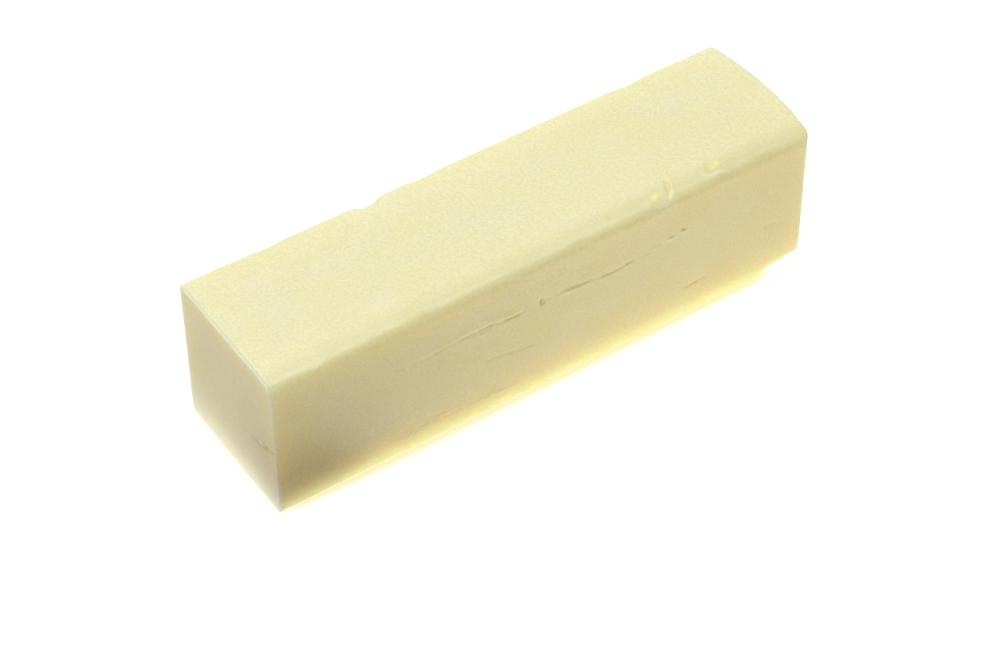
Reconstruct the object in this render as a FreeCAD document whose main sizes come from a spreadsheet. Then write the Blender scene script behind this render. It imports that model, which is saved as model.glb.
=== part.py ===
"""A quarter-pound stick of butter: one solid, long along X, standing on its base at Z = 0.

The near end (-X) is flat and crisp, with a thin fin of butter round its top and sides, where it was pressed
into the fold of its wrapper. The far end (+X) is softer: it bows out a little, and its corners are rounded.
The long edges are rounded too, each by its own radius. Nicks, pits and a chipped corner mark the stick, and
the creases of the wrapper run along its front (-Y).

Sizes are in millimetres and stand in the spreadsheet "sizes".
"""

import FreeCAD, Part
import os
import Sketcher

Vector = FreeCAD.Vector

NODE = "butter_stick"
SMALL = 1e-4
PAST = 1.0  # how far a cutting solid runs past what it cuts

# The sketcher's numbers for a line's ends, and for its own axes
START, END = 1, 2
AXIS_ALONG, AXIS_UP = -1, -2
ORIGIN = (-1, 1)

SIZES = [
    ("stick_length", 120.6, "overall, with the fin"),
    ("stick_width", 31.8, "overall"),
    ("stick_height", 32.4, "overall"),
    ("far_bow", 1.6, "how far the far end bows out at its middle"),
    ("far_corner_radius", 2.1, "upright corners of the far end"),
    ("front_top_radius", 2.0, "long top edge on the front"),
    ("far_top_radius", 0.6, "top edge of the far end"),
    ("back_top_radius", 0.9, "long top edge on the back"),
    ("front_base_radius", 0.8, "long base edge on the front"),
    ("far_base_radius", 1.2, "base edge of the far end"),
    ("back_base_radius", 1.8, "long base edge on the back"),
    ("fin_stand", 0.35, "how far the fin stands out of the near end"),
    ("fin_thickness", 0.5, "from its outer to its inner face"),
    ("crease_depth", 0.3, "of each crease at its middle"),
    ("crease_radius", 0.55, "of each crease's rounded bottom"),
]

# Each mark is an ellipsoid pressed into an edge or a face of the stick. Here are those places, with the tilt
# about X that turns the ellipsoid's depth from upright to square with the place.
TILTS = {"top": 0, "front_top": 45, "front": 90, "front_base": 135, "back_top": -45}
MARK_SIZES = ["from_far_end", "from_side", "from_level", "half_length", "half_width", "half_depth"]
MARKS = [
    ("slim_nick", "front_top", 35.8, 0.6, 0.7, 0.45, 1.7, 0.8),
    ("round_nick", "front_top", 24.2, 1.2, 0.2, 2.1, 1.9, 0.9),
    ("near_nick", "front_top", 110.2, 0.4, 0.4, 0.7, 0.7, 0.6),
    ("back_notch", "back_top", 81.3, 0.3, 0.2, 3.3, 1.5, 0.9),
    ("far_chip", "front_base", -1.0, -1.0, -0.8, 11.0, 3.0, 3.0),
    ("front_pit", "front", 62.5, -0.1, 10.8, 0.5, 0.8, 0.6),
    ("top_pit", "top", 28.1, 17.0, -0.1, 0.6, 0.5, 0.5),
]

# Each crease is where the rim of a wide, thin ring dips into the front, so that it fades out at both ends.
CREASE_SIZES = ["from_far_end", "half_length", "from_level"]
CREASES = [
    ("far_crease", "top", 39.0, 6.5, 11.3),
    ("middle_crease", "top", 53.0, 8.5, 11.0),
    ("step_crease", "top", 73.5, 8.0, 10.4),
    ("near_crease", "top", 87.5, 8.0, 10.0),
    ("low_crease", "base", 83.0, 14.0, 4.4),
    ("short_crease", "base", 26.5, 3.6, 7.3),
]


def sheet_rows():
    """Every alias with its value and its meaning."""
    rows = list(SIZES)
    for name, place, *values in MARKS:
        for size, value in zip(MARK_SIZES, values):
            rows.append((f"{name}_{size}", value, f"mark at the stick's {place.replace('_', ' ')}"))
    for name, level, *values in CREASES:
        for size, value in zip(CREASE_SIZES, values):
            rows.append((f"{name}_{size}", value, f"crease on the front, from the {level}"))
    return rows


def make_sheet(doc):
    sheet = doc.addObject("Spreadsheet::Sheet", "sizes")
    for row, (alias, value, meaning) in enumerate(sheet_rows(), start=1):
        sheet.set(f"A{row}", alias)
        sheet.set(f"B{row}", str(value))
        sheet.set(f"C{row}", meaning)
        sheet.setAlias(f"B{row}", alias)
    doc.recompute()
    return sheet


def add_sketch(body, name, role):
    """A sketch on one of the body's own origin planes."""
    sketch = body.newObject("Sketcher::SketchObject", name)
    plane = next(feature for feature in body.Origin.OriginFeatures if feature.Role == role)
    sketch.AttachmentSupport = [(plane, "")]
    sketch.MapMode = "FlatFace"
    return sketch


def drive(sketch, expression, *constraint):
    """Adds a constraint whose value follows the spreadsheet."""
    index = sketch.addConstraint(Sketcher.Constraint(*constraint))
    sketch.setExpression(f"Constraints[{index}]", expression)


def make_sharp_stick(doc, sheet):
    """The stick with sharp edges, from a plan that is straight on three sides and bowed at the far end."""
    body = doc.addObject("PartDesign::Body", "sharp_stick")
    near = -sheet.stick_length / 2
    crown = sheet.stick_length / 2
    shoulder = crown - sheet.far_bow
    side = sheet.stick_width / 2

    plan = add_sketch(body, "plan", "XY_Plane")
    front = plan.addGeometry(Part.LineSegment(Vector(near, -side), Vector(shoulder, -side)))
    bow = plan.addGeometry(Part.Arc(Vector(shoulder, -side), Vector(crown, 0), Vector(shoulder, side)))
    back = plan.addGeometry(Part.LineSegment(Vector(shoulder, side), Vector(near, side)))
    flat = plan.addGeometry(Part.LineSegment(Vector(near, side), Vector(near, -side)))
    crown_point = plan.addGeometry(Part.Point(Vector(crown, 0)))
    for constraint in [
        ("Coincident", front, END, bow, START),
        ("Coincident", bow, END, back, START),
        ("Coincident", back, END, flat, START),
        ("Coincident", flat, END, front, START),
        ("Horizontal", front),
        ("Horizontal", back),
        ("Vertical", flat),
        ("Symmetric", front, END, back, START, AXIS_ALONG),
        ("PointOnObject", crown_point, START, bow),
        ("PointOnObject", crown_point, START, AXIS_ALONG),
    ]:
        plan.addConstraint(Sketcher.Constraint(*constraint))
    drive(plan, "sizes.stick_width", "DistanceY", front, END, back, START, 2 * side)
    drive(plan, "sizes.stick_length / 2", "DistanceX", front, START, *ORIGIN, -near)
    drive(plan, "sizes.stick_length / 2", "DistanceX", *ORIGIN, crown_point, START, crown)
    drive(plan, "sizes.stick_length / 2 - sizes.far_bow", "DistanceX", *ORIGIN, front, END, shoulder)

    block = body.newObject("PartDesign::Pad", "block")
    block.Profile = plan
    block.setExpression("Length", "sizes.stick_height")
    doc.recompute()
    return body


def round_edges(body, name, base, radius, test):
    """Rounds those edges of the base feature that pass the test."""
    edges = [f"Edge{number}" for number, edge in enumerate(base.Shape.Edges, start=1) if test(edge.BoundBox)]
    fillet = body.newObject("PartDesign::Fillet", name)
    fillet.Base = (base, edges)
    fillet.setExpression("Radius", radius)
    return fillet


def make_near_panel(doc, sheet):
    """What is sunk into the near end, so that the fin is left standing round its top and sides."""
    body = doc.addObject("PartDesign::Body", "near_panel")
    side = sheet.stick_width / 2 - sheet.fin_thickness
    top = sheet.stick_height - sheet.fin_thickness

    outline = add_sketch(body, "near_outline", "YZ_Plane")
    outline.setExpression("AttachmentOffset.Base.z", f"-sizes.stick_length / 2 - {PAST}")
    low = outline.addGeometry(Part.LineSegment(Vector(-side, -PAST), Vector(side, -PAST)))
    back = outline.addGeometry(Part.LineSegment(Vector(side, -PAST), Vector(side, top)))
    high = outline.addGeometry(Part.LineSegment(Vector(side, top), Vector(-side, top)))
    front = outline.addGeometry(Part.LineSegment(Vector(-side, top), Vector(-side, -PAST)))
    for constraint in [
        ("Coincident", low, END, back, START),
        ("Coincident", back, END, high, START),
        ("Coincident", high, END, front, START),
        ("Coincident", front, END, low, START),
        ("Horizontal", high),
        ("Vertical", front),
        ("Vertical", back),
        ("Symmetric", low, START, low, END, AXIS_UP),
        ("DistanceY", low, START, *ORIGIN, PAST),
    ]:
        outline.addConstraint(Sketcher.Constraint(*constraint))
    inner_width = "sizes.stick_width - 2 * sizes.fin_thickness"
    drive(outline, inner_width, "DistanceX", low, START, low, END, 2 * side)
    inner_height = "sizes.stick_height - sizes.fin_thickness"
    drive(outline, inner_height, "DistanceY", *ORIGIN, high, START, top)

    panel = body.newObject("PartDesign::Pad", "panel")
    panel.Profile = outline
    panel.setExpression("Length", f"sizes.fin_stand + {PAST}")
    doc.recompute()

    def is_top_corner(box, direction):
        return box.YLength < SMALL and box.ZLength < SMALL and box.ZMin > 0 and box.YMax * direction > 0

    radius = "sizes.front_top_radius - sizes.fin_thickness"
    front_corner = round_edges(body, "panel_front_corner", panel, radius, lambda box: is_top_corner(box, -1))
    doc.recompute()
    radius = "sizes.back_top_radius - sizes.fin_thickness"
    round_edges(body, "panel_back_corner", front_corner, radius, lambda box: is_top_corner(box, 1))
    doc.recompute()
    return body


def soften(doc, sheet, sharp_stick):
    """Rounds every edge but the near end's."""
    rows = []
    for number, edge in enumerate(sharp_stick.Shape.Edges, start=1):
        box = edge.BoundBox
        level = "top" if box.ZMin > SMALL else "base"
        if box.XMax < 0:
            continue
        if box.ZLength > SMALL:
            radius = sheet.far_corner_radius
        elif box.XMin > 0:
            radius = getattr(sheet, f"far_{level}_radius")
        else:
            side = "front" if box.YMax < 0 else "back"
            radius = getattr(sheet, f"{side}_{level}_radius")
        rows.append((number, radius, radius))
    soft_stick = doc.addObject("Part::Fillet", "soft_stick")
    soft_stick.Base = sharp_stick
    soft_stick.Edges = rows
    doc.recompute()
    return soft_stick


def add_dent(doc, name, tilt, middle, halves):
    """An ellipsoid, to be cut away. The expressions give its middle, and half its length, width and depth."""
    dent = doc.addObject("Part::Ellipsoid", name)
    dent.Placement.Rotation = FreeCAD.Rotation(Vector(1, 0, 0), tilt)
    for axis, expression in zip("xyz", middle):
        dent.setExpression(f"Placement.Base.{axis}", expression)
    for radius, expression in zip(("Radius2", "Radius3", "Radius1"), halves):
        dent.setExpression(radius, expression)
    return dent


def place_along(name):
    return f"sizes.stick_length / 2 - sizes.{name}_from_far_end"


def place_up(name, level):
    if level == "base":
        return f"sizes.{name}_from_level"
    return f"sizes.stick_height - sizes.{name}_from_level"


def add_mark(doc, name, place):
    across = f"sizes.stick_width / 2 - sizes.{name}_from_side"
    if not place.startswith("back"):
        across = f"-({across})"
    level = "base" if place.endswith("base") else "top"
    middle = (place_along(name), across, place_up(name, level))
    halves = [f"sizes.{name}_half_{size}" for size in ("length", "width", "depth")]
    return add_dent(doc, name, TILTS[place], middle, halves)


def add_crease(doc, name, level):
    outer_radius = f"((sizes.{name}_half_length ^ 2 + sizes.crease_depth ^ 2) / (2 * sizes.crease_depth))"
    ring = doc.addObject("Part::Torus", name)
    ring.setExpression("Radius1", f"{outer_radius} - sizes.crease_radius")
    ring.setExpression("Radius2", "sizes.crease_radius")
    ring.setExpression("Placement.Base.x", place_along(name))
    ring.setExpression("Placement.Base.y", f"sizes.crease_depth - sizes.stick_width / 2 - {outer_radius}")
    ring.setExpression("Placement.Base.z", place_up(name, level))
    return ring


def cut_away(doc, stick, tools):
    """Cuts the tools from the stick one after another. Each has to reach into it."""
    for tool in tools:
        if stick.Shape.common(tool.Shape).Volume < SMALL:
            raise ValueError(f"{tool.Name} misses the stick")
        cut = doc.addObject("Part::Cut", f"stick_less_{tool.Name}")
        cut.Base = stick
        cut.Tool = tool
        doc.recompute()
        stick = cut
    return stick


def check(doc, stick):
    for item in doc.Objects:
        if "Invalid" in item.State or "Error" in item.State:
            raise ValueError(f"{item.Name} failed: {item.State}")
    if stick.Shape.isNull() or not stick.Shape.isValid() or len(stick.Shape.Solids) != 1:
        raise ValueError("the stick isn't one valid solid")


def main():
    doc = FreeCAD.newDocument("butter")
    sheet = make_sheet(doc)
    soft_stick = soften(doc, sheet, make_sharp_stick(doc, sheet))
    tools = [make_near_panel(doc, sheet)]
    tools += [add_mark(doc, name, place) for name, place, *_ in MARKS]
    tools += [add_crease(doc, name, level) for name, level, *_ in CREASES]
    doc.recompute()
    stick = cut_away(doc, soft_stick, tools)
    stick.Label = NODE
    stick.Placement = FreeCAD.Placement()
    doc.recompute()
    check(doc, stick)
    os.makedirs("parts", exist_ok=True)
    stick.Shape.exportStep(f"parts/{NODE}.step")
    print(f"wrote parts/{NODE}.step, with {len(stick.Shape.Faces)} faces")


main()
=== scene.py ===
"""An unwrapped stick of butter on a pale, lit table.

The stick is one closed mesh. It starts as a block of the size of the frame's own stick, its edges are
rounded, its faces are divided finely, and a relief then shapes its surface: soft waves, the thin fin round
the near end, the bowed far end, the creases of the wrapper, and the nicks, pits and chips.
"""

import math

import bmesh
import bpy
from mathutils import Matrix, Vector


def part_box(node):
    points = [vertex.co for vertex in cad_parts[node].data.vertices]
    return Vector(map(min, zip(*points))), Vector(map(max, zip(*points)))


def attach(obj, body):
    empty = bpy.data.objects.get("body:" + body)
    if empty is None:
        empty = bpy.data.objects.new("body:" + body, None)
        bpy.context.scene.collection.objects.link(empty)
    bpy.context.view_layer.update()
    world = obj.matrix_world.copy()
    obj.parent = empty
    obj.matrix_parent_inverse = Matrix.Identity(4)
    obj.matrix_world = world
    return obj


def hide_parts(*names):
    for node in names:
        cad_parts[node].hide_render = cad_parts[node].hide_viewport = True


bl_info = {
    "name": "Butter stick",
    "version": (1, 0, 0),
    "blender": (4, 5, 0),
    "location": "3D View > Sidebar > Butter",
    "description": "Models an unwrapped stick of butter and sets it on a lit table",
    "category": "Object",
}

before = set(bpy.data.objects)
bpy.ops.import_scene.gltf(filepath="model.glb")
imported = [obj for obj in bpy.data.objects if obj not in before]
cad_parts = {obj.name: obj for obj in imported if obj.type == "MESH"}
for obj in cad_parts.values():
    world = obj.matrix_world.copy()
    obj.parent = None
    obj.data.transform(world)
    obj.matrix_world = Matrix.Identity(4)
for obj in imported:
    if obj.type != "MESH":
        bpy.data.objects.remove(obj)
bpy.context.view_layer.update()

NODE = "butter_stick"
BODY = "root"

MM = 0.001
LOW, HIGH = (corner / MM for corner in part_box(NODE))
NEAR, FAR = LOW.x, HIGH.x
FRONT, BACK = LOW.y, HIGH.y
BASE, TOP = LOW.z, HIGH.z
ALONG, ACROSS, UP = 0, 1, 2
TOUCH = 0.01  # points this near to a plane, in millimetres, lie on it

# Planes that cut the block, in millimetres: how far they lie from the near end and from the far end
NEAR_CUTS = [0.3, 0.5, 0.7, 0.9, 1.2, 1.6, 2.1, 2.6]
FAR_CUTS = [2.9, 2.4, 1.9, 1.4, 0.9, 0.5]
# how far they lie in from the long sides and the top
RIM, SHOULDER, PAST_NICKS = 1.4, 2.7, 5.1
# where the stretch that holds the two nicks starts and ends
NICKS_START, NICKS_END = 21.0, 41.0
# how far up they lie, from the foot to both sides of the long fold
FOOT_CUTS = [0.9, 1.8]
FOOT, LOW_FOLDS, UNDER_FOLD, OVER_FOLD = 2.6, 8.0, 19.8, 23.6

# Each stretch between two such planes that is divided: its axis, its ends, and the length of a step.
STRETCHES = [
    (UP, FOOT, LOW_FOLDS, 0.35),
    (UP, LOW_FOLDS, UNDER_FOLD, 0.4),
    (UP, UNDER_FOLD, OVER_FOLD, 0.2),
    (UP, OVER_FOLD, TOP - SHOULDER, 0.5),
    (ACROSS, FRONT + RIM, FRONT + SHOULDER, 0.3),
    (ACROSS, FRONT + SHOULDER, FRONT + PAST_NICKS, 0.3),
    (ACROSS, FRONT + PAST_NICKS, BACK - SHOULDER, 0.5),
    (ALONG, NEAR + NEAR_CUTS[-1], NICKS_START, 0.5),
    (ALONG, NICKS_START, NICKS_END, 0.3),
    (ALONG, NICKS_END, FAR - FAR_CUTS[0], 0.5),
]

BEVEL_STEPS = 6
RING_WIDTH = 0.12  # of the crisp rim round the near end, and of each ring inside it
RINGS = 4

# The camera and the overhead light, in metres and radians
CAMERA_PLACE = (-0.22114, -0.32422, 0.39776)
CAMERA_YAW, CAMERA_PITCH = 0.9755, 0.7935
CAMERA_LENS = 105.15
OVERHEAD_PLACE = Vector((0.02, 0.24, 1.09))
OVERHEAD_SIZE = 0.8
TABLE_SIZE = 4.0

UNDER_TINT = (0.92, 1.04, 2.2)  # the bluer light under the stick, which the butter turns yellow
SCRATCH_HIGHLIGHT_COLOUR = (1.0, 0.98, 0.84, 1.0)  # painted highlight on the lip beside the scratch in the near end
CARD_COLOUR = (0.26, 0.12, 0.04, 1.0)


class StickSettings(bpy.types.PropertyGroup):
    """The sizes and colours of the stick that a user would change."""

    front_top_radius: bpy.props.FloatProperty(
        name="Front top edge",
        description="Radius of the long top edge on the front",
        default=2.0 * MM,
        min=0.1 * MM,
        max=2.5 * MM,
        subtype="DISTANCE",
        unit="LENGTH",
    )
    back_top_radius: bpy.props.FloatProperty(
        name="Back top edge",
        description="Radius of the long top edge on the back",
        default=0.9 * MM,
        min=0.1 * MM,
        max=2.5 * MM,
        subtype="DISTANCE",
        unit="LENGTH",
    )
    front_base_radius: bpy.props.FloatProperty(
        name="Front base edge",
        description="Radius of the long base edge on the front",
        default=0.8 * MM,
        min=0.7 * MM,
        max=2.5 * MM,
        subtype="DISTANCE",
        unit="LENGTH",
    )
    back_base_radius: bpy.props.FloatProperty(
        name="Back base edge",
        description="Radius of the long base edge on the back",
        default=1.8 * MM,
        min=0.7 * MM,
        max=2.5 * MM,
        subtype="DISTANCE",
        unit="LENGTH",
    )
    far_top_radius: bpy.props.FloatProperty(
        name="Far top edge",
        description="Radius of the top edge of the far end",
        default=0.6 * MM,
        min=0.1 * MM,
        max=2.6 * MM,
        subtype="DISTANCE",
        unit="LENGTH",
    )
    far_base_radius: bpy.props.FloatProperty(
        name="Far base edge",
        description="Radius of the base edge of the far end",
        default=1.2 * MM,
        min=0.1 * MM,
        max=2.5 * MM,
        subtype="DISTANCE",
        unit="LENGTH",
    )
    far_corner_radius: bpy.props.FloatProperty(
        name="Far corners",
        description="Radius of the upright corners of the far end",
        default=2.1 * MM,
        min=0.1 * MM,
        max=2.7 * MM,
        subtype="DISTANCE",
        unit="LENGTH",
    )
    far_bow: bpy.props.FloatProperty(
        name="Far bow",
        description="How far the far end bows out at its middle",
        default=1.6 * MM,
        min=0.0,
        max=3.0 * MM,
        subtype="DISTANCE",
        unit="LENGTH",
    )
    fin_stand: bpy.props.FloatProperty(
        name="Fin",
        description="How far the thin fin stands out of the near end",
        default=0.24 * MM,
        min=0.0,
        max=1.0 * MM,
        subtype="DISTANCE",
        unit="LENGTH",
    )
    wave_height: bpy.props.FloatProperty(
        name="Waves",
        description="Height of the soft waves in the faces",
        default=0.26 * MM,
        min=0.0,
        max=1.0 * MM,
        subtype="DISTANCE",
        unit="LENGTH",
    )
    butter_colour: bpy.props.FloatVectorProperty(
        name="Butter",
        description="Colour of most of the butter",
        default=(0.93, 0.868, 0.485),
        min=0.0,
        max=1.0,
        subtype="COLOR",
    )
    # the pale tone of the butter's specks, and also the colour of the painted highlights on the fin and
    # the fold and of the painted glow at the foot
    pale_and_painted_light_colour: bpy.props.FloatVectorProperty(
        name="Pale butter",
        description="Colour where the butter is paler, as in its fin",
        default=(0.94, 0.93, 0.74),
        min=0.0,
        max=1.0,
        subtype="COLOR",
    )
    # painted shade: the darker colour painted along the front top edge and into the faint folds and the
    # scratch
    edge_shade_colour: bpy.props.FloatVectorProperty(
        name="Edge",
        description="Colour of the top close to its front edge",
        default=(0.74, 0.7, 0.33),
        min=0.0,
        max=1.0,
        subtype="COLOR",
    )
    deep_colour: bpy.props.FloatVectorProperty(
        name="Deep butter",
        description="Colour of the finest specks",
        default=(0.8, 0.73, 0.36),
        min=0.0,
        max=1.0,
        subtype="COLOR",
    )
    fresh_colour: bpy.props.FloatVectorProperty(
        name="Fresh butter",
        description="Colour where a nick has opened the butter",
        default=(0.9, 0.9, 0.34),
        min=0.0,
        max=1.0,
        subtype="COLOR",
    )


class StageSettings(bpy.types.PropertyGroup):
    """The light and the colours round the stick."""

    table_colour: bpy.props.FloatVectorProperty(
        name="Table glow",
        description="Light from the table far from the stick; white where every part of it is above 1",
        default=(1.05, 1.01, 1.005),
        min=0.0,
        max=10.0,
    )
    near_colour: bpy.props.FloatVectorProperty(
        name="Glow near the stick",
        description="Light from the table close round the stick",
        default=(1.4, 1.3, 1.15),
        min=0.0,
        max=10.0,
    )
    # painted contact shade: the dimmer, yellow table colour painted round the stick's foot
    contact_shade_colour: bpy.props.FloatVectorProperty(
        name="Fringe",
        description="Light from the table where the stick touches it",
        default=(0.93, 0.885, 0.52),
        min=0.0,
        max=10.0,
    )
    under_glow: bpy.props.FloatProperty(
        name="Glow under the stick",
        description="How much brighter the table is where the stick hides it",
        default=2.7,
        min=0.0,
        max=50.0,
    )
    overhead_strength: bpy.props.FloatProperty(
        name="Overhead light",
        description="Power of the soft light over the table",
        default=12.2,
        min=0.0,
        max=1000.0,
        subtype="POWER",
        unit="POWER",
    )
    overhead_colour: bpy.props.FloatVectorProperty(
        name="Overhead colour",
        description="Colour of the soft light over the table",
        default=(0.965, 1.015, 1.17),
        min=0.0,
        max=2.0,
    )
    room_strength: bpy.props.FloatProperty(
        name="Room light",
        description="Brightness of the room round the table",
        default=0.1,
        min=0.0,
        max=10.0,
    )
    room_colour: bpy.props.FloatVectorProperty(
        name="Room",
        description="Colour of the light from the room round the table",
        default=(1.0, 0.7, 0.3),
        min=0.0,
        max=1.0,
        subtype="COLOR",
    )
    wall_colour: bpy.props.FloatVectorProperty(
        name="Walls",
        description="Colour in which the walls behind the table are seen",
        default=(0.8, 0.81, 0.82),
        min=0.0,
        max=1.0,
        subtype="COLOR",
    )


class Wire:
    """A node's output, on which sums are written as Python expressions."""

    def __init__(self, tree, socket=None):
        self.tree = tree
        self.socket = socket

    def node(self, kind, settings=None, inputs=None, output=0):
        """Adds a node: first its settings, then the value or the link of each socket."""
        made = self.tree.nodes.new(kind)
        for name, value in (settings or {}).items():
            setattr(made, name, value)
        for name, value in (inputs or {}).items():
            if isinstance(value, Wire):
                self.tree.links.new(value.socket, made.inputs[name])
            else:
                made.inputs[name].default_value = value
        return Wire(self.tree, made.outputs[output]) if made.outputs else None

    def sum(self, operation, first, second):
        return self.node("ShaderNodeMath", {"operation": operation}, {0: first, 1: second})

    def __add__(self, other):
        return self.sum("ADD", self, other)

    __radd__ = __add__

    def __sub__(self, other):
        return self.sum("SUBTRACT", self, other)

    def __rsub__(self, other):
        return self.sum("SUBTRACT", other, self)

    def __mul__(self, other):
        return self.sum("MULTIPLY", self, other)

    __rmul__ = __mul__

    def __truediv__(self, other):
        return self.sum("DIVIDE", self, other)

    def __pow__(self, other):
        return self.sum("POWER", self, other)

    def vector(self, operation, other=None, output="Vector"):
        inputs = {0: self}
        if other is not None:
            inputs[1] = other
        return self.node("ShaderNodeVectorMath", {"operation": operation}, inputs, output)

    def scaled(self, scale):
        return self.node("ShaderNodeVectorMath", {"operation": "SCALE"}, {0: self, "Scale": scale})

    def toward(self, direction):
        """This share of a direction that is given as three numbers."""
        return self.node("ShaderNodeVectorMath", {"operation": "SCALE"}, {0: direction, "Scale": self})

    def at_least(self, other):
        return self.sum("MAXIMUM", self, other)

    def blend(self, first, second):
        """Goes from the first colour to the second as this value goes from 0 to 1."""
        inputs = {0: self, 6: first, 7: second}
        return self.node("ShaderNodeMix", {"data_type": "RGBA"}, inputs, 2)

    def ramp(self, start, end, low=0.0, high=1.0, shape="SMOOTHSTEP"):
        """Goes from low at start to high at end, and stays there on either side."""
        inputs = {"Value": self, "From Min": start, "From Max": end, "To Min": low, "To Max": high}
        return self.node("ShaderNodeMapRange", {"interpolation_type": shape}, inputs)

    def noise(self, size, detail=2.0, stretch=(1.0, 1.0, 1.0), shift=(0.0, 0.0, 0.0)):
        """Smooth noise from -1 to 1, with lumps of about this size, on a place in millimetres."""
        scaling = tuple(1.0 / (size * part) for part in stretch)
        place = self.vector("MULTIPLY", scaling).vector("ADD", shift)
        inputs = {"Vector": place, "Scale": 1.0, "Detail": detail}
        return self.node("ShaderNodeTexNoise", {"noise_dimensions": "3D"}, inputs, "Fac") * 2.0 - 1.0


# ------------------------------------------------------------------ the marks, in millimetres

# Each dent or lump: its centre, its half sizes, the share of it that is moved in full, and its move.
DENTS = [
    # beside the slim nick in the front top edge: the lump it pushed up, and the rough lip under it
    ((24.2, -13.2, 32.3), (1.3, 1.1, 1.0), 0.15, (0.0, -0.12, 0.36)),
    ((25.0, -15.6, 31.2), (1.3, 0.8, 0.7), 0.1, (0.0, -0.3, 0.08)),
    ((22.4, -14.2, 32.0), (1.0, 0.8, 0.8), 0.1, (0.0, -0.08, 0.2)),
    ((23.4, -14.9, 31.7), (0.8, 0.8, 0.8), 0.1, (0.0, 0.16, -0.22)),
    # the round nick, the butter pushed up before it, and the pit beside it
    ((37.6, -12.3, 32.4), (2.0, 1.5, 1.4), 0.25, (0.0, 0.05, -0.3)),
    ((37.2, -14.4, 32.0), (2.6, 1.3, 1.3), 0.2, (0.0, -0.2, 0.42)),
    ((39.5, -13.5, 32.3), (0.6, 0.6, 0.7), 0.1, (0.0, 0.0, -0.3)),
    ((35.3, -13.2, 32.3), (0.8, 0.9, 0.8), 0.1, (0.0, -0.05, 0.16)),
    # small nicks and lumps along the front top edge
    ((-49.9, -15.3, 31.9), (1.5, 1.0, 0.9), 0.1, (0.0, -0.2, 0.34)),
    ((5.5, -15.2, 31.8), (2.2, 1.2, 1.0), 0.1, (0.0, 0.1, -0.12)),
    ((-28.0, -15.3, 31.9), (3.0, 1.2, 1.0), 0.1, (0.0, 0.1, -0.1)),
    ((49.5, -15.0, 31.6), (3.2, 1.4, 1.2), 0.1, (0.0, 0.14, -0.14)),
    # the upright back edge of the near end, worn round
    ((-60.3, 15.9, 15.0), (1.6, 1.6, 60.0), 0.1, (0.2, -0.24, 0.0)),
    # the notch in the back top edge, and the waves beside it
    ((-20.8, 15.9, 32.4), (3.6, 1.9, 1.7), 0.5, (0.0, -0.55, -0.85)),
    ((-9.0, 15.9, 32.4), (4.5, 1.6, 1.4), 0.2, (0.0, -0.15, -0.25)),
    ((11.4, 15.6, 32.2), (0.7, 0.9, 0.7), 0.1, (0.0, 0.1, 0.22)),
    ((-42.5, 15.9, 32.4), (4.0, 1.6, 1.4), 0.2, (0.0, -0.1, -0.2)),
    ((38.0, 15.9, 32.4), (5.0, 1.6, 1.4), 0.2, (0.0, -0.1, -0.18)),
    # the chip out of the far base corner on the front
    ((60.6, -16.1, -0.2), (11.5, 3.0, 2.9), 0.25, (0.0, 1.35, 1.25)),
    ((52.4, -15.9, 0.6), (3.2, 1.6, 1.6), 0.2, (0.0, 0.3, 0.4)),
    # pits and small lumps in the top
    ((31.2, 1.1, 32.4), (0.55, 0.45, 0.5), 0.3, (0.0, 0.0, -0.35)),
    ((-2.9, -5.2, 32.4), (0.6, 0.5, 0.5), 0.1, (0.0, 0.0, 0.14)),
    ((-35.9, -2.1, 32.4), (0.6, 0.6, 0.5), 0.1, (0.0, 0.0, 0.14)),
    # the pit in the front, with its lip, and small marks
    ((-3.0, -15.9, 22.0), (0.62, 0.7, 1.15), 0.3, (0.0, 0.65, 0.0)),
    ((-4.2, -15.9, 22.6), (0.7, 0.6, 1.0), 0.1, (0.0, -0.2, 0.0)),
    ((-50.5, -15.9, 29.1), (0.6, 0.5, 0.5), 0.2, (0.0, 0.26, 0.0)),
    ((-37.6, -15.9, 18.5), (0.6, 0.5, 0.5), 0.2, (0.0, 0.26, 0.0)),
    ((40.0, -15.9, 22.8), (0.5, 0.5, 0.4), 0.1, (0.0, -0.16, 0.0)),
    # broken flecks at the far end of the fold
    ((22.7, -15.9, 21.8), (1.3, 0.6, 0.4), 0.2, (0.0, -0.24, 0.0)),
    ((26.3, -15.9, 22.3), (1.4, 0.6, 0.4), 0.2, (0.0, -0.24, 0.0)),
    ((26.1, -15.9, 22.9), (0.9, 0.5, 0.3), 0.1, (0.0, 0.16, 0.0)),
    ((29.1, -15.9, 22.9), (1.2, 0.6, 0.4), 0.2, (0.0, -0.26, 0.0)),
    ((28.8, -15.9, 23.5), (0.6, 0.5, 0.35), 0.2, (0.0, 0.24, 0.0)),
    ((32.3, -15.9, 23.8), (0.4, 0.5, 0.5), 0.1, (0.0, -0.14, 0.0)),
    # small marks on the back
    ((12.0, 15.9, 21.0), (0.6, 0.6, 0.6), 0.2, (0.0, -0.3, 0.0)),
    ((-48.0, 15.9, 8.0), (1.4, 0.6, 0.7), 0.1, (0.0, -0.18, 0.0)),
    # slanted dents near the far end of the front
    ((50.9, -15.9, 13.2), (2.4, 0.6, 1.1), 0.1, (0.0, 0.16, 0.0)),
    ((52.5, -15.9, 8.5), (2.0, 0.6, 0.9), 0.1, (0.0, 0.14, 0.0)),
]

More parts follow.
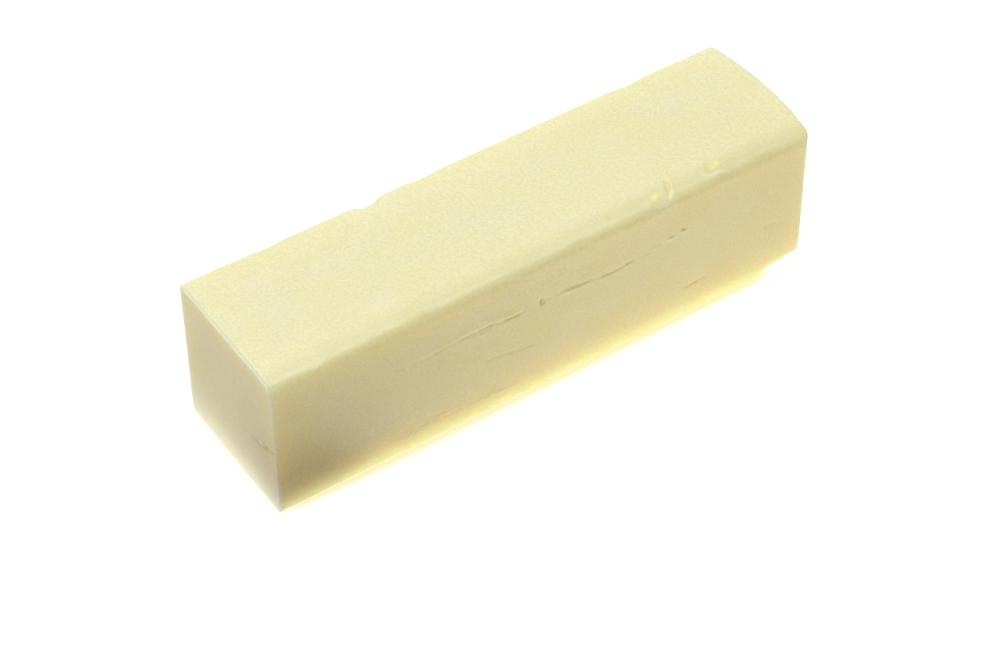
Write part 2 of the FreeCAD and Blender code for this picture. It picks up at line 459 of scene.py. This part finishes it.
# Each straight cut, whole from end to end: its two ends, its half width, and its move.
CUTS = [
    # the slim nick, running over the front top edge, between its two lips
    ((28.4, -10.6, 32.4), (25.9, -14.8, 32.3), 0.55, (0.0, 0.1, -0.5)),
    ((26.9, -13.0, 32.4), (25.0, -16.1, 31.2), 0.6, (0.0, 0.25, -0.35)),
    ((27.4, -10.7, 32.4), (25.0, -14.6, 32.3), 0.45, (0.0, -0.04, 0.15)),
    ((29.3, -10.9, 32.4), (26.9, -14.8, 32.3), 0.45, (0.0, -0.04, 0.13)),
    # the short crease low down
    ((28.9, -15.9, 7.4), (35.8, -15.9, 7.9), 0.45, (0.0, 0.22, 0.0)),
    # the scratch across the near end, and the lip along its top
    ((-60.3, -5.8, 13.1), (-60.3, -10.6, 13.7), 0.45, (0.45, 0.0, 0.0)),
    ((-60.3, -9.2, 13.5), (-60.3, -16.3, 15.7), 0.45, (0.55, 0.0, 0.0)),
    ((-60.3, -5.8, 13.8), (-60.3, -12.6, 15.0), 0.5, (-0.38, 0.0, 0.0)),
    # the faint line behind the slim nick
    ((18.8, -12.6, 32.4), (24.0, -12.0, 32.4), 0.5, (0.0, 0.0, -0.12)),
]

# Each straight run of a fold, broken along its length: the same four things.
RUNS = [
    # the long fold across the front: a lip with a dip under it
    ((-35.4, -15.9, 23.4), (-25.9, -15.9, 22.1), 0.6, (0.0, -0.06, 0.0)),
    ((-35.4, -15.9, 22.6), (-25.9, -15.9, 21.3), 0.6, (0.0, 0.08, 0.0)),
    ((-27.3, -15.9, 22.5), (-19.5, -15.9, 23.0), 0.6, (0.0, -0.14, 0.0)),
    ((-27.3, -15.9, 21.8), (-19.5, -15.9, 22.3), 0.5, (0.0, 0.2, 0.0)),
    ((-21.6, -15.9, 23.2), (-13.1, -15.9, 23.0), 0.8, (0.0, -0.22, 0.0)),
    ((-21.6, -15.9, 22.4), (-13.1, -15.9, 22.1), 0.55, (0.0, 0.3, 0.0)),
    ((-15.6, -15.9, 22.9), (-7.0, -15.9, 22.3), 0.8, (0.0, -0.2, 0.0)),
    ((-15.6, -15.9, 22.2), (-7.0, -15.9, 21.5), 0.5, (0.0, 0.3, 0.0)),
    ((-18.6, -15.9, 21.6), (-11.6, -15.9, 21.3), 0.4, (0.0, 0.1, 0.0)),
    ((-2.6, -15.9, 22.1), (3.4, -15.9, 22.2), 0.45, (0.0, 0.08, 0.0)),
    ((1.0, -15.9, 22.3), (7.4, -15.9, 21.7), 0.5, (0.0, 0.16, 0.0)),
    ((1.0, -15.9, 21.6), (7.4, -15.9, 21.0), 0.5, (0.0, -0.12, 0.0)),
    ((6.0, -15.9, 21.8), (12.6, -15.9, 20.9), 0.5, (0.0, 0.17, 0.0)),
    ((6.0, -15.9, 21.1), (12.6, -15.9, 20.2), 0.5, (0.0, -0.16, 0.0)),
    ((10.8, -15.9, 21.1), (16.9, -15.9, 21.1), 0.5, (0.0, 0.16, 0.0)),
    ((15.1, -15.9, 21.3), (20.9, -15.9, 21.6), 0.5, (0.0, 0.17, 0.0)),
    ((15.7, -15.9, 20.6), (20.5, -15.9, 20.9), 0.4, (0.0, -0.18, 0.0)),
    # the low fold
    ((-36.9, -15.9, 4.8), (-26.4, -15.9, 5.3), 0.6, (0.0, -0.28, 0.0)),
    ((-36.9, -15.9, 4.0), (-26.4, -15.9, 4.5), 0.5, (0.0, 0.24, 0.0)),
    ((-27.5, -15.9, 5.3), (-17.8, -15.9, 4.6), 0.6, (0.0, -0.28, 0.0)),
    ((-27.5, -15.9, 4.5), (-17.8, -15.9, 3.8), 0.5, (0.0, 0.22, 0.0)),
    ((-19.2, -15.9, 4.5), (-8.3, -15.9, 4.1), 0.6, (0.0, -0.22, 0.0)),
    # faint folds between the two
    ((-17.0, -15.9, 14.2), (-8.0, -15.9, 13.3), 0.6, (0.0, -0.22, 0.0)),
    ((-17.0, -15.9, 13.5), (-8.0, -15.9, 12.6), 0.5, (0.0, 0.26, 0.0)),
    ((-11.0, -15.9, 12.6), (-4.5, -15.9, 11.8), 0.5, (0.0, -0.24, 0.0)),
    # short creases
    ((29.1, -15.9, 6.8), (35.2, -15.9, 7.2), 0.4, (0.0, -0.08, 0.0)),
    ((12.6, -15.9, 4.6), (22.4, -15.9, 5.2), 0.4, (0.0, 0.1, 0.0)),
    # folds and creases on the back and the far end
    ((-38.0, 15.9, 19.1), (-22.0, 15.9, 18.2), 0.6, (0.0, 0.14, 0.0)),
    ((-38.0, 15.9, 18.4), (-22.0, 15.9, 17.5), 0.5, (0.0, -0.18, 0.0)),
    ((4.0, 15.9, 9.5), (17.0, 15.9, 10.2), 0.5, (0.0, -0.16, 0.0)),
    ((26.0, 15.9, 24.0), (34.0, 15.9, 23.3), 0.5, (0.0, -0.16, 0.0)),
    ((60.3, -7.0, 14.0), (60.3, 4.0, 15.2), 0.5, (-0.16, 0.0, 0.0)),
]

# The two ends of each faint fold or scratch that shows by a dark line of painted shade in its colour.
PAINTED_FOLD_SHADE = [
    ((-37.0, -15.9, 4.4), (-26.0, -15.9, 4.8)),
    ((-27.5, -15.9, 5.0), (-17.0, -15.9, 4.1)),
    ((-18.0, -15.9, 4.3), (-7.5, -15.9, 3.9)),
    ((-17.0, -15.9, 13.6), (-8.5, -15.9, 12.9)),
    ((-11.0, -15.9, 12.5), (-4.0, -15.9, 11.7)),
    ((-60.1, -6.4, 13.3), (-60.1, -16.3, 15.6)),
]

# Each card that keeps the table's light off the near front corner: its name, middle, and two sizes.
FLAGS = [
    ("front_flag", (-62.0, -27.5), (38.0, 16.0)),
    ("end_flag", (-77.0, -14.0), (20.0, 11.0)),
]


def closeness(place, centre, half, core):
    """1 in the core of an ellipsoid, fading to 0 at its skin."""
    away = place.vector("SUBTRACT", centre).vector("DIVIDE", half).vector("LENGTH", output="Value")
    return away.ramp(1.0, core)


def nearness_to_run(place, start, end, half_width):
    """1 on a straight run, fading to 0 at half its width and towards its two ends."""
    run = Vector(end) - Vector(start)
    from_start = place.vector("SUBTRACT", start)
    along = from_start.vector("DOT_PRODUCT", tuple(run / run.length_squared), "Value")
    along = along.ramp(0.0, 1.0, shape="LINEAR")
    close = from_start.vector("DISTANCE", along.toward(tuple(run)), "Value").ramp(half_width, 0.0)
    taper = (along * (1.0 - along)).ramp(0.0, 0.16)
    return close * taper


def part_of(place, part):
    return place.node("ShaderNodeSeparateXYZ", None, {0: place}, part)


def make_relief(settings):
    """The node group that moves the points of the finely divided block."""
    tree = bpy.data.node_groups.new("butter_relief", "GeometryNodeTree")
    tree.interface.new_socket("Geometry", in_out="INPUT", socket_type="NodeSocketGeometry")
    tree.interface.new_socket("Geometry", in_out="OUTPUT", socket_type="NodeSocketGeometry")
    start = Wire(tree)
    block = start.node("NodeGroupInput")
    place = start.node("GeometryNodeInputPosition").scaled(1.0 / MM)
    normal = start.node("GeometryNodeInputNormal")
    x, y, z = (part_of(place, part) for part in "XYZ")
    off_base = z.ramp(BASE + 0.3, BASE + 3.0)

    # soft waves and a fine unevenness, none of them on the base
    waves = place.noise(26.0, 1.0, (1.6, 1.0, 1.0)) * (settings.wave_height / MM)
    lumps = place.noise(5.0, 2.0, (1.5, 1.0, 1.0), (3.0, 1.0, 7.0)) * 0.05
    grain = place.noise(1.1, 2.0) * 0.014
    move = normal.scaled((waves + lumps + grain) * off_base)

    # the front top edge wanders a little, and is tighter towards the near end
    from_edge = closeness(place, (0.0, FRONT, TOP), (400.0, 3.2, 3.2), 0.2)
    wander = place.noise(9.0, 2.0, (1.0, 60.0, 60.0)) * 0.22 + place.noise(2.6, 2.0) * 0.13
    tight = x.ramp(-30.0, -54.0, 0.0, 0.12) * x.ramp(NEAR, -54.0)
    move = move.vector("ADD", (from_edge * (wander + tight)).toward((0.0, -0.7, 0.7)))
    back_edge = closeness(place, (0.0, BACK, TOP), (400.0, 2.0, 2.0), 0.2)
    back_wander = place.noise(7.0, 2.0, (1.0, 60.0, 60.0), (5.0, 0.0, 0.0)) * 0.16
    move = move.vector("ADD", (back_edge * (back_wander - 0.08)).toward((0.0, 0.5, 0.7)))

    # the far end bows out, and its front top corner droops
    across = y / BACK
    bow = across * across * x.ramp(40.0, FAR, 0.0, -settings.far_bow / MM, "LINEAR")
    droop = x.ramp(44.0, FAR) * y.ramp(0.0, FRONT) * z.ramp(12.0, TOP) * -0.1
    droop = droop - y.ramp(-6.0, FRONT, 0.0, 1.0) ** 2.0 * z.ramp(TOP - 6.0, TOP) * 0.4
    move = move.vector("ADD", start.node("ShaderNodeCombineXYZ", None, {0: bow, 1: 0.0, 2: droop}))

    # dents, lumps and folds, their outlines bent a little by noise
    jitter = start.node("ShaderNodeCombineXYZ", None, {
        0: place.noise(1.6, 1.0, shift=(1.0, 0.0, 0.0)) * 0.22,
        1: place.noise(1.6, 1.0, shift=(0.0, 4.0, 0.0)) * 0.12,
        2: place.noise(1.7, 3.0, shift=(0.0, 0.0, 9.0)) * 0.5,
    })
    bent = place.vector("ADD", jitter)
    for centre, half, core, push in DENTS:
        move = move.vector("ADD", closeness(bent, centre, half, core).toward(push))
    broken = place.noise(2.2, 2.0, shift=(8.0, 2.0, 0.0)).ramp(-0.25, 0.3, 0.08, 1.3)
    broken = broken * place.noise(0.6, 1.0, shift=(4.0, 0.0, 5.0)).ramp(-0.4, 0.4, 0.45, 1.4)
    for first, last, half_width, push in CUTS:
        move = move.vector("ADD", nearness_to_run(bent, first, last, half_width).toward(push))
    for first, last, half_width, push in RUNS:
        share = nearness_to_run(bent, first, last, half_width) * broken
        move = move.vector("ADD", share.toward(push))

    # the near end: its middle is sunk behind the fin, which fades out at the foot
    uneven = place.noise(3.0, 2.0, shift=(0.0, 6.0, 2.0)).ramp(-0.6, 0.6, 0.55, 1.1)
    on_end = x.ramp(NEAR + 0.2, NEAR + 0.02)
    fin = distance_inside(place).ramp(0.75, 0.3) * uneven * z.ramp(2.0, 28.0, 0.2, 1.0)
    sunk = on_end * (1.0 - fin) * (settings.fin_stand / MM)

    # the lip of the fin on the top, and the shallow ditch behind it
    from_near = x - NEAR
    on_top = z.ramp(TOP - 2.2, TOP - 0.4)
    ditch = from_near.ramp(0.35, 0.62) * from_near.ramp(1.0, 0.62) * on_top * -0.13 * uneven
    lip = from_near.ramp(0.55, 0.2) * on_top * 0.08 * uneven
    move = move.vector("ADD", start.node("ShaderNodeCombineXYZ", None, {0: sunk, 1: 0.0, 2: ditch + lip}))

    offset = move.scaled(MM)
    moved = start.node("GeometryNodeSetPosition", None, {"Geometry": block, "Offset": offset})
    start.node("NodeGroupOutput", None, {0: moved})
    return tree


def distance_inside(place):
    """How far a point of the near end lies inside the rounded outline of its top and sides."""
    y, z = (part_of(place, part) for part in "YZ")
    from_sides = BACK - y.node("ShaderNodeMath", {"operation": "ABSOLUTE"}, {0: y})
    from_top = TOP - z
    radius = 2.0
    corner_y = (radius - from_sides).at_least(0.0)
    corner_z = (radius - from_top).at_least(0.0)
    corner = (corner_y * corner_y + corner_z * corner_z) ** 0.5
    return radius - corner


# ------------------------------------------------------------------ modelling by hand


def start_piece():
    """Leaves nothing selected, in object mode."""
    if bpy.context.object and bpy.context.object.mode != "OBJECT":
        bpy.ops.object.mode_set(mode="OBJECT")
    bpy.ops.object.select_all(action="DESELECT")


def pick_edges(mesh, test):
    """Selects the edges whose two ends, in millimetres, pass the test."""
    bpy.ops.mesh.select_mode(type="EDGE")
    bpy.ops.mesh.select_all(action="DESELECT")
    shape = bmesh.from_edit_mesh(mesh)
    for painted_edge_shade in shape.edges:
        if test(*(vert.co / MM for vert in painted_edge_shade.verts)):
            painted_edge_shade.select_set(True)
    bmesh.update_edit_mesh(mesh)


def pick_near_end(mesh):
    """Selects the flat face of the near end."""
    bpy.ops.mesh.select_mode(type="FACE")
    bpy.ops.mesh.select_all(action="DESELECT")
    shape = bmesh.from_edit_mesh(mesh)
    for face in shape.faces:
        if face.normal.x < -0.99:
            face.select_set(True)
    bmesh.update_edit_mesh(mesh)


def cut_across(axis, levels):
    """Cuts the whole mesh by planes square with an axis."""
    direction = [0.0, 0.0, 0.0]
    direction[axis] = 1.0
    for level in levels:
        place = [0.0, 0.0, 0.0]
        place[axis] = level * MM
        bpy.ops.mesh.select_all(action="SELECT")
        bpy.ops.mesh.bisect(plane_co=place, plane_no=direction)


def divide_between(mesh, axis, low, high, step):
    """Divides every edge that runs straight from one level to the other, all the way round the mesh."""

    def spans(a, b):
        ends = sorted((a[axis], b[axis]))
        return abs(ends[0] - low) < TOUCH and abs(ends[1] - high) < TOUCH

    pick_edges(mesh, spans)
    cuts = round((high - low) / step) - 1
    bpy.ops.mesh.subdivide_edgering(number_cuts=cuts, interpolation="LINEAR", smoothness=0.0)


def lies_on(point, line):
    """Whether a point lies on a line, of which only the two levels that it keeps are given."""
    return all(level is None or abs(part - level) < TOUCH for part, level in zip(point, line))


def round_block_edges(stick, settings):
    """Rounds the long edges and those of the far end, each by its own radius."""
    radii = {
        (None, FRONT, TOP): settings.front_top_radius,
        (None, BACK, TOP): settings.back_top_radius,
        (None, FRONT, BASE): settings.front_base_radius,
        (None, BACK, BASE): settings.back_base_radius,
        (FAR, None, TOP): settings.far_top_radius,
        (FAR, None, BASE): settings.far_base_radius,
        (FAR, FRONT, None): settings.far_corner_radius,
        (FAR, BACK, None): settings.far_corner_radius,
    }
    widest = max(radii.values())
    mesh = stick.data
    weights = mesh.attributes.new("bevel_weight_edge", "FLOAT", "EDGE")
    for painted_edge_shade in mesh.edges:
        ends = [mesh.vertices[index].co / MM for index in painted_edge_shade.vertices]
        for line, radius in radii.items():
            if all(lies_on(end, line) for end in ends):
                weights.data[painted_edge_shade.index].value = radius / widest
    rounding = stick.modifiers.new("rounded_edges", "BEVEL")
    rounding.limit_method = "WEIGHT"
    rounding.width = widest
    rounding.segments = BEVEL_STEPS
    rounding.profile = 0.5
    bpy.ops.object.modifier_apply(modifier=rounding.name)


def model_stick(settings):
    start_piece()
    size = (HIGH - LOW) * MM
    bpy.ops.mesh.primitive_cube_add(size=1.0, location=(LOW + HIGH) * MM / 2, scale=size)
    bpy.ops.object.transform_apply(location=True, rotation=False, scale=True)
    stick = bpy.context.object
    stick.name = "stick_of_butter"
    mesh = stick.data
    mesh.name = "stick_of_butter"
    round_block_edges(stick, settings)

    bpy.ops.object.mode_set(mode="EDIT")
    # a crisp rim round the near end, and rings inside it for the fin
    pick_edges(mesh, lambda a, b: max(a.x, b.x) < NEAR + TOUCH)
    bpy.ops.mesh.bevel(offset=RING_WIDTH * MM, segments=2, affect="EDGES")
    pick_near_end(mesh)
    for _ in range(RINGS):
        bpy.ops.mesh.inset(thickness=RING_WIDTH * MM, use_boundary=True)

    near_and_far = [NEAR + gap for gap in NEAR_CUTS] + [FAR - gap for gap in FAR_CUTS]
    cut_across(ALONG, near_and_far + [NICKS_START, NICKS_END])
    cut_across(ACROSS, [FRONT + SHOULDER, FRONT + RIM, FRONT + PAST_NICKS])
    cut_across(ACROSS, [BACK - SHOULDER, BACK - RIM])
    cut_across(UP, FOOT_CUTS + [FOOT, LOW_FOLDS, UNDER_FOLD, OVER_FOLD, TOP - SHOULDER, TOP - RIM])
    for axis, low, high, step in STRETCHES:
        divide_between(mesh, axis, low, high, step)
    bpy.ops.object.mode_set(mode="OBJECT")

    relief = stick.modifiers.new("relief", "NODES")
    relief.node_group = make_relief(settings)
    bpy.ops.object.modifier_apply(modifier=relief.name)
    bpy.ops.object.shade_smooth_by_angle(angle=math.radians(60.0))
    return stick


# ------------------------------------------------------------------ materials


def make_butter(settings):
    material = bpy.data.materials.new("butter")
    material.use_nodes = True
    tree = material.node_tree
    tree.nodes.clear()
    start = Wire(tree)
    place = start.node("ShaderNodeTexCoord", None, None, "Object").scaled(1.0 / MM)
    x, z = (part_of(place, part) for part in "XZ")

    plain = (*settings.butter_colour, 1.0)
    pale_and_painted_light = (*settings.pale_and_painted_light_colour, 1.0)
    fresh = (*settings.fresh_colour, 1.0)
    deep = (*settings.deep_colour, 1.0)
    shaded = (*settings.edge_shade_colour, 1.0)

    # mottled, with pale specks and a fine dark grain
    mottle = place.noise(7.0, 3.0, (1.6, 1.0, 1.0)).ramp(-0.5, 0.7, 0.0, 0.35)
    specks = place.noise(0.9, 2.0).ramp(0.1, 0.8, 0.0, 0.3)
    colour = (mottle + specks).blend(plain, pale_and_painted_light)
    grain = place.noise(0.55, 2.0, shift=(2.0, 0.0, 0.0)).ramp(-0.5, 0.5, 0.0, 0.55)
    colour = grain.blend(colour, deep)

    # painted shade: darker along the front top edge, where the top turns away from the light; and a
    # painted highlight: paler in the fin of the near end
    painted_edge_shade = closeness(place, (0.0, FRONT + 2.1, TOP + 0.4), (4000.0, 4.4, 2.6), 0.0)
    painted_edge_shade = painted_edge_shade * place.noise(4.0, 3.0, (1.8, 1.0, 1.0), (0.0, 3.0, 0.0)).ramp(-0.6, 0.6, 0.55, 1.0)
    colour = (painted_edge_shade * x.ramp(-50.0, 55.0, 0.62, 1.0)).blend(colour, shaded)
    # painted highlight: the thin fin is painted paler, as if it caught the light
    fin = (x - NEAR).ramp(0.7, 0.2) * distance_inside(place).ramp(0.9, 0.4) * z.ramp(0.5, 4.0)
    colour = (fin * 0.15).blend(colour, pale_and_painted_light)

    # fresh in the slim nick and the round nick, and pale where the butter is pushed up beside them
    opened = closeness(place, (24.4, -13.1, 32.3), (2.0, 1.6, 1.6), 0.0)
    opened = opened + closeness(place, (37.8, -12.1, 32.0), (2.3, 1.7, 2.0), 0.0)
    colour = opened.ramp(0.0, 1.0, 0.0, 0.8).blend(colour, fresh)
    raised = closeness(place, (37.2, -14.7, 31.8), (2.6, 1.4, 1.6), 0.3)
    raised = raised + closeness(place, (24.6, -15.0, 31.7), (2.4, 1.3, 1.6), 0.3)
    raised = raised * place.noise(0.9, 2.0).ramp(-0.4, 0.3, 0.3, 1.0)
    colour = (raised * 0.34).blend(colour, pale_and_painted_light)

    # painted highlight in pale flecks along the long fold, and painted shade in dark lines along the faint
    # folds and the scratch
    fold_highlight = nearness_to_run(place, (20.5, FRONT, 21.9), (32.5, FRONT, 23.6), 0.9)
    fold_highlight = fold_highlight + nearness_to_run(place, (-22.5, FRONT, 23.2), (-6.5, FRONT, 22.3), 0.9) * 0.4
    fold_highlight = fold_highlight * place.noise(1.0, 1.0, (1.8, 1.0, 0.6), (7.0, 0.0, 0.0)).ramp(0.0, 0.3, 0.0, 0.75)
    colour = fold_highlight.blend(colour, pale_and_painted_light)
    # painted shade: each faint fold and the scratch get a broken dark line of the edge's shade colour
    shade_breakup = place.noise(1.8, 3.0, shift=(0.0, 3.0, 3.0)).ramp(-0.35, 0.3, 0.15, 0.8)
    for first, last in PAINTED_FOLD_SHADE:
        fold_shade = nearness_to_run(place, first, last, 0.55) * shade_breakup
        colour = fold_shade.blend(colour, shaded)
    # painted highlight: the lip along the scratch is painted near white
    scratch_highlight = nearness_to_run(place, (NEAR, -5.4, 13.8), (NEAR, -12.8, 15.0), 0.45)
    colour = (scratch_highlight * 0.75).blend(colour, SCRATCH_HIGHLIGHT_COLOUR)

    # painted glow: paler at the foot, and more so on the near end, for the lit table shining up through
    # the butter
    end_foot_glow = z.ramp(13.0, 0.6) * (x - NEAR).ramp(1.2, 0.4)
    foot_glow = z.ramp(5.0, 0.6, 0.0, 0.42).at_least(end_foot_glow)
    colour = foot_glow.blend(colour, pale_and_painted_light)

    roughness = place.noise(4.0, 3.0).ramp(-0.8, 0.8, 0.38, 0.52)
    height = place.noise(0.8, 3.0) * 0.6 + place.noise(3.0, 2.0, (2.0, 1.0, 1.0)) * 1.2
    bump = start.node("ShaderNodeBump", None, {
        "Strength": 0.5,
        "Distance": 0.12 * MM,
        "Height": height,
    })
    surface = start.node("ShaderNodeBsdfPrincipled", {"subsurface_method": "RANDOM_WALK"}, {
        "Base Color": colour,
        "Roughness": roughness,
        "IOR": 1.46,
        "Subsurface Weight": 1.0,
        "Subsurface Radius": (1.0, 0.86, 0.55),
        "Subsurface Scale": 5.0 * MM,
        "Normal": bump,
    })
    start.node("ShaderNodeOutputMaterial", None, {"Surface": surface})
    return material


def distance_past(place, half_length, half_width):
    """How far a point of the table lies outside a rectangle round the origin."""
    past = place.vector("ABSOLUTE").vector("SUBTRACT", (half_length, half_width, 0.0))
    return past.vector("MAXIMUM", (0.0, 0.0, 0.0)).vector("LENGTH", output="Value")


def make_glowing_table(settings):
    """A table lit from inside: brighter round the stick, with a painted yellow contact shade where it
    touches, brightest under it.
    """
    material = bpy.data.materials.new("lit_table")
    material.use_nodes = True
    tree = material.node_tree
    tree.nodes.clear()
    start = Wire(tree)
    place = start.node("ShaderNodeTexCoord", None, None, "Object").scaled(1.0 / MM)
    x, y = (part_of(place, part) for part in "XY")
    away = distance_past(place, FAR, BACK)
    hidden = distance_past(place, FAR - 2.0, BACK - 1.5).ramp(0.8, 0.1)

    far_glow = (*settings.table_colour, 1.0)
    near_glow = (*settings.near_colour, 1.0)
    contact_shade = (*settings.contact_shade_colour, 1.0)
    under = tuple(part * settings.under_glow for part in UNDER_TINT) + (1.0,)
    lively = away.ramp(160.0, 45.0) * x.ramp(-52.0, 22.0)
    glow = lively.blend(far_glow, near_glow)

    # the painted contact shade, yellow as if lit by the butter, narrow at the near end and gone before the
    # chip at the far end
    reach = x.ramp(NEAR - 1.0, NEAR + 24.0, 0.7, 2.3) * x.ramp(10.0, 45.0, 1.0, 0.75)
    contact_shade_mask = (away / reach).ramp(1.0, 0.1) * x.ramp(56.0, 46.0)
    contact_shade_mask = contact_shade_mask * x.ramp(NEAR - 1.0, NEAR + 6.0, 0.25, 1.0)
    glow = contact_shade_mask.blend(glow, contact_shade)

    # the glow under the stick, dimmer under its near front corner
    dim_corner = 1.0 - x.ramp(-36.0, -56.0, 0.0, 0.75) * y.ramp(0.0, -14.0)
    glow = (hidden * dim_corner).blend(glow, under)
    surface = start.node("ShaderNodeBsdfPrincipled", None, {
        "Base Color": (0.05, 0.05, 0.05, 1.0),
        "Roughness": 0.6,
        "Specular IOR Level": 0.1,
        "Emission Color": glow,
        "Emission Strength": 1.0,
    })
    start.node("ShaderNodeOutputMaterial", None, {"Surface": surface})
    return material


def make_flag():
    """The dull brown of the cards that keep the table's light off the near front corner."""
    material = bpy.data.materials.new("flag_brown")
    material.use_nodes = True
    surface = material.node_tree.nodes["Principled BSDF"]
    surface.inputs["Base Color"].default_value = CARD_COLOUR
    surface.inputs["Roughness"].default_value = 0.9
    return material


def make_room(settings):
    """The dim warm light of the room, whose walls look pale."""
    room = bpy.data.worlds.new("room")
    room.use_nodes = True
    tree = room.node_tree
    tree.nodes.clear()
    start = Wire(tree)
    light = tuple(part * settings.room_strength for part in settings.room_colour) + (1.0,)
    seen = start.node("ShaderNodeLightPath", None, None, "Is Camera Ray")
    colour = seen.blend(light, (*settings.wall_colour, 1.0))
    backdrop = start.node("ShaderNodeBackground", None, {"Color": colour, "Strength": 1.0})
    start.node("ShaderNodeOutputWorld", None, {"Surface": backdrop})
    return room


# ------------------------------------------------------------------ operators


class BUTTER_OT_stick(bpy.types.Operator):
    """Models the stick of butter and gives it its finish"""

    bl_idname = "butter.stick"
    bl_label = "Stick of butter"

    def execute(self, context):
        settings = context.scene.butter_stick
        stick = model_stick(settings)
        stick.data.materials.clear()
        stick.data.materials.append(make_butter(settings))
        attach(stick, BODY)
        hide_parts(NODE)
        return {"FINISHED"}


class BUTTER_OT_stage(bpy.types.Operator):
    """Sets the lit table, the soft lights and the camera"""

    bl_idname = "butter.stage"
    bl_label = "Table, light and camera"

    def execute(self, context):
        settings = context.scene.butter_stage
        scene = context.scene
        start_piece()
        bpy.ops.mesh.primitive_plane_add(size=TABLE_SIZE, location=(0.0, 0.0, -0.1 * MM))
        table = context.object
        table.name = "table"
        table.data.materials.append(make_glowing_table(settings))

        brown = make_flag()
        for name, (x, y), (length, width) in FLAGS:
            bpy.ops.mesh.primitive_plane_add(size=1.0 * MM, location=(x * MM, y * MM, 1.0 * MM))
            bpy.ops.transform.resize(value=(length, width, 1.0))
            bpy.ops.object.transform_apply(location=True, rotation=False, scale=True)
            flag = context.object
            flag.name = name
            flag.visible_camera = False
            flag.data.materials.append(brown)

        turn = (-OVERHEAD_PLACE).to_track_quat("-Z", "Y").to_euler()
        bpy.ops.object.light_add(type="AREA", location=OVERHEAD_PLACE, rotation=turn)
        overhead = context.object
        overhead.name = "overhead_light"
        overhead.data.shape = "DISK"
        overhead.data.size = OVERHEAD_SIZE
        overhead.data.energy = settings.overhead_strength
        overhead.data.color = settings.overhead_colour

        scene.world = make_room(settings)

        turn = (math.pi / 2 - CAMERA_PITCH, 0.0, CAMERA_YAW - math.pi / 2)
        bpy.ops.object.camera_add(location=CAMERA_PLACE, rotation=turn)
        camera = context.object
        camera.name = "camera"
        camera.data.sensor_width = 36.0
        camera.data.lens = CAMERA_LENS
        camera.data.clip_start = 0.01
        scene.camera = camera
        scene.view_settings.view_transform = "Standard"
        scene.view_settings.look = "None"
        return {"FINISHED"}


class BUTTER_PT_panel(bpy.types.Panel):
    """Lists what can be made, and its sizes and colours"""

    bl_idname = "BUTTER_PT_panel"
    bl_label = "Butter stick"
    bl_space_type = "VIEW_3D"
    bl_region_type = "UI"
    bl_category = "Butter"

    def draw(self, context):
        layout = self.layout
        for settings, operator in (
            (context.scene.butter_stick, BUTTER_OT_stick.bl_idname),
            (context.scene.butter_stage, BUTTER_OT_stage.bl_idname),
        ):
            for name in settings.bl_rna.properties.keys():
                if name not in ("rna_type", "name"):
                    layout.prop(settings, name)
            layout.operator(operator)


CLASSES = (StickSettings, StageSettings, BUTTER_OT_stick, BUTTER_OT_stage, BUTTER_PT_panel)


def register():
    for made in CLASSES:
        bpy.utils.register_class(made)
    bpy.types.Scene.butter_stick = bpy.props.PointerProperty(type=StickSettings)
    bpy.types.Scene.butter_stage = bpy.props.PointerProperty(type=StageSettings)


def unregister():
    del bpy.types.Scene.butter_stage
    del bpy.types.Scene.butter_stick
    for made in reversed(CLASSES):
        bpy.utils.unregister_class(made)


def main():
    register()
    bpy.ops.butter.stick()
    bpy.ops.butter.stage()


if __name__ == "__main__":
    main()
